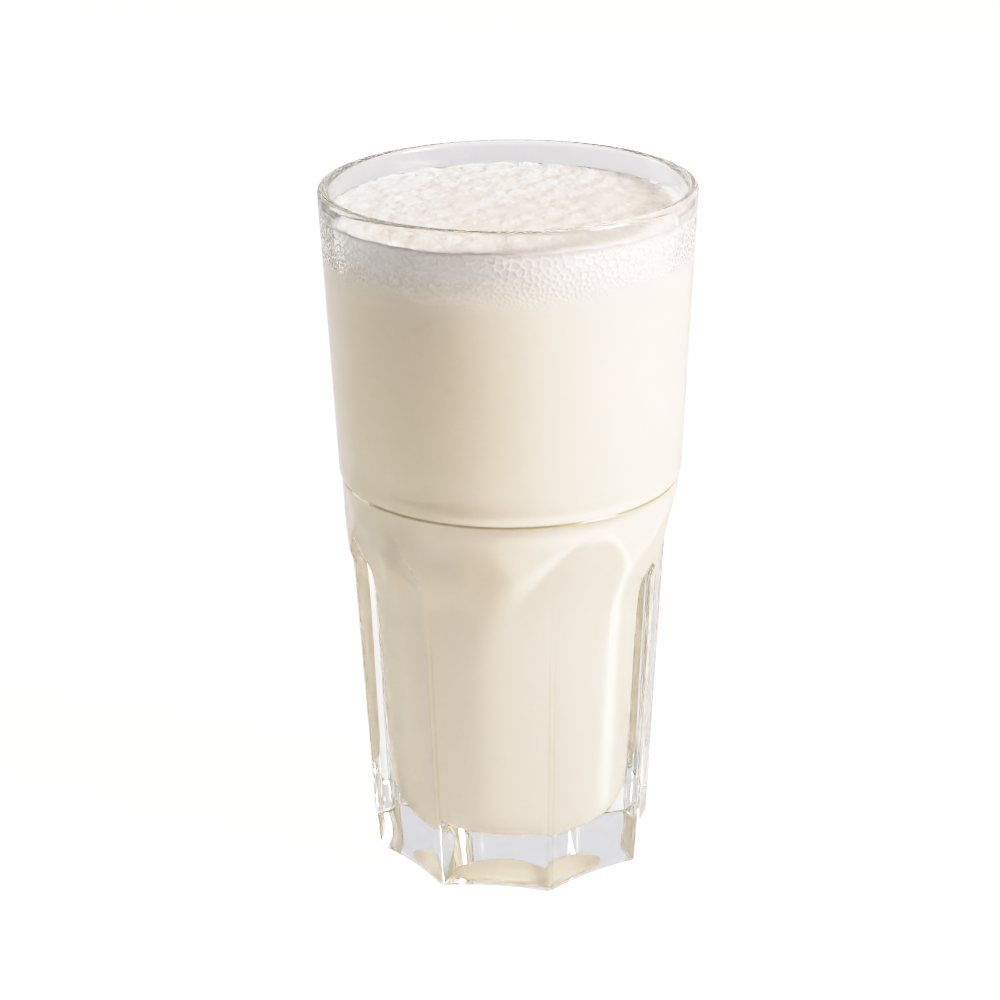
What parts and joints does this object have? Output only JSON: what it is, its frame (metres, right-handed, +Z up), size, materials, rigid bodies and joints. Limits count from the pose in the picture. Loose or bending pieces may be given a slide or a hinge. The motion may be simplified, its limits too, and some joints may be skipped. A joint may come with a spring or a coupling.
{
  "type": "glass of lassi",
  "caption": "Tall tumbler of pressed clear glass, round above a step and fluted below, filled almost to the rim with pale lassi under a layer of froth.",
  "frame": {"origin": "middle of the foot, on the surface that the tumbler stands on", "axes": "+Z up along the tumbler's axis; -Y towards the picture's viewer, whose right is +X"},
  "size_m": [0.0792, 0.0792, 0.15],
  "materials": {
    "glass": "pressed and fire-polished, clear with a faint green tint",
    "lassi": "wet opaque yoghurt drink, warm ivory white",
    "froth": "fine wet bubbles, off-white"
  },
  "bodies": {
    "root": {"tumbler": "glass", "lassi": "lassi", "froth": "froth"}
  },
  "joints": []
}
